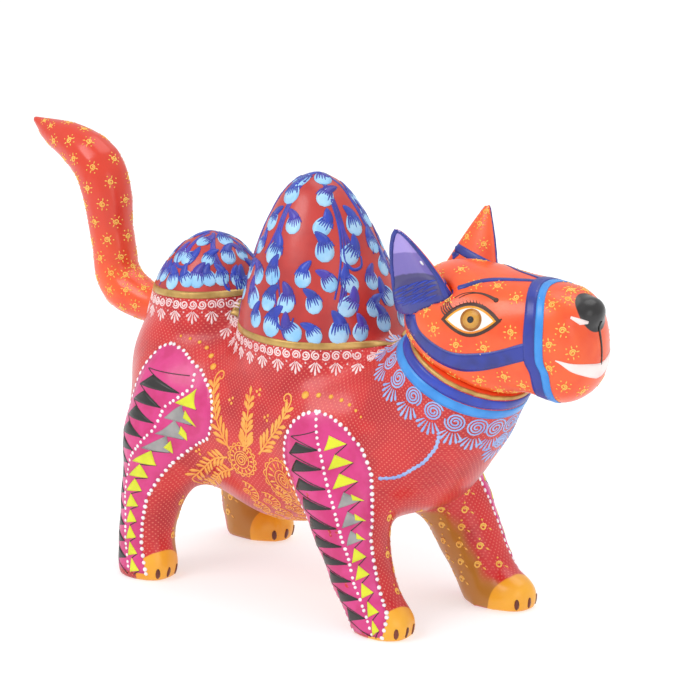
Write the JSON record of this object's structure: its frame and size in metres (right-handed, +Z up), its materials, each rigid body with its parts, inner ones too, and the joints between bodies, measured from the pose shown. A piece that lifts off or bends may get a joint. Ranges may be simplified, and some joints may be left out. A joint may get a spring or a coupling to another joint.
{
  "type": "alebrije figure",
  "caption": "Carved and hand-painted two-humped camel figure standing on its paws, with an upswept tail and ears that pull out of their sockets.",
  "frame": {"origin": "on the plane the four paws stand on, under the middle of the figure's box", "axes": "+X towards the nose, +Y towards the figure's left, +Z up"},
  "size_m": [0.2669, 0.0821, 0.152],
  "materials": {
    "red_paint": "red acrylic paint under a satin varnish, on carved soft wood",
    "rust_paint": "rust-red acrylic paint under a satin varnish, on carved soft wood",
    "orange_paint": "orange acrylic paint under a satin varnish, on carved soft wood",
    "bare_wood": "bare whittled soft wood"
  },
  "bodies": {
    "figure": {"torso": "red_paint", "right_front_leg": "red_paint", "left_front_leg": "red_paint", "right_rear_leg": "red_paint", "left_rear_leg": "red_paint", "large_hump": "rust_paint", "small_hump": "rust_paint", "head": "orange_paint", "neck_dowel": "bare_wood", "large_hump_front_dowel": "bare_wood", "large_hump_rear_dowel": "bare_wood", "small_hump_dowel": "bare_wood", "right_front_leg_dowel": "bare_wood", "right_rear_leg_dowel": "bare_wood", "left_front_leg_dowel": "bare_wood", "left_rear_leg_dowel": "bare_wood"},
    "right_ear": {"right_ear": "orange_paint"},
    "left_ear": {"left_ear": "orange_paint"},
    "tail": {"tail": "orange_paint"}
  },
  "joints": [
    {"name": "right_ear_pull", "type": "slide", "parent": "figure", "child": "right_ear", "axis": [-0.1584, -0.3565, 0.9208], "range_m": [0, 0.012]},
    {"name": "left_ear_pull", "type": "slide", "parent": "figure", "child": "left_ear", "axis": [0.0679, 0.264, 0.9621], "range_m": [0, 0.012]},
    {"name": "tail_pull", "type": "slide", "parent": "figure", "child": "tail", "axis": [-1, 0, 0], "range_m": [0, 0.022]}
  ]
}
